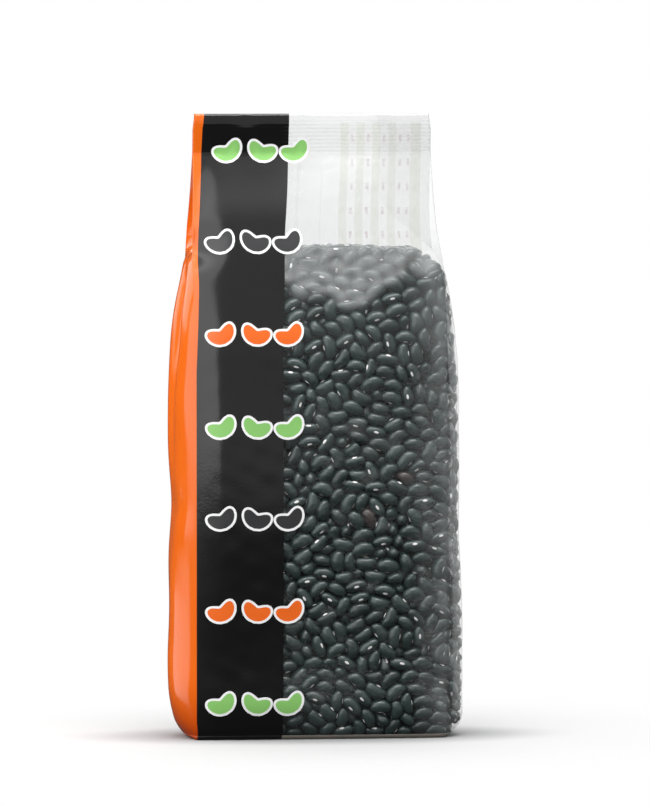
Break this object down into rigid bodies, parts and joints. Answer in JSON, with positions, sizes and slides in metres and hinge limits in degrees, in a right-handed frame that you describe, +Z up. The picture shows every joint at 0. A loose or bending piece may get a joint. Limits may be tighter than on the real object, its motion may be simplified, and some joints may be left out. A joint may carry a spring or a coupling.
{
  "type": "bag of dried beans",
  "caption": "Upright side-gusset pouch of clear and printed film, filled with dried black beans, closed by a crimped seal across its top.",
  "frame": {"origin": "middle of the flat base that the bag stands on", "axes": "+Z up along the bag's height, -Y out of the printed front panel, +X towards the clear gusset on the right of the front"},
  "size_m": [0.133, 0.056, 0.28],
  "materials": {
    "black_beans": "satin, dark slate skins with small pale eyes",
    "clear_film": "glossy thin plastic film, wrinkled",
    "printed_film": "glossy thin plastic film printed black and orange"
  },
  "bodies": {
    "root": {"bag": "black_beans"}
  },
  "joints": []
}
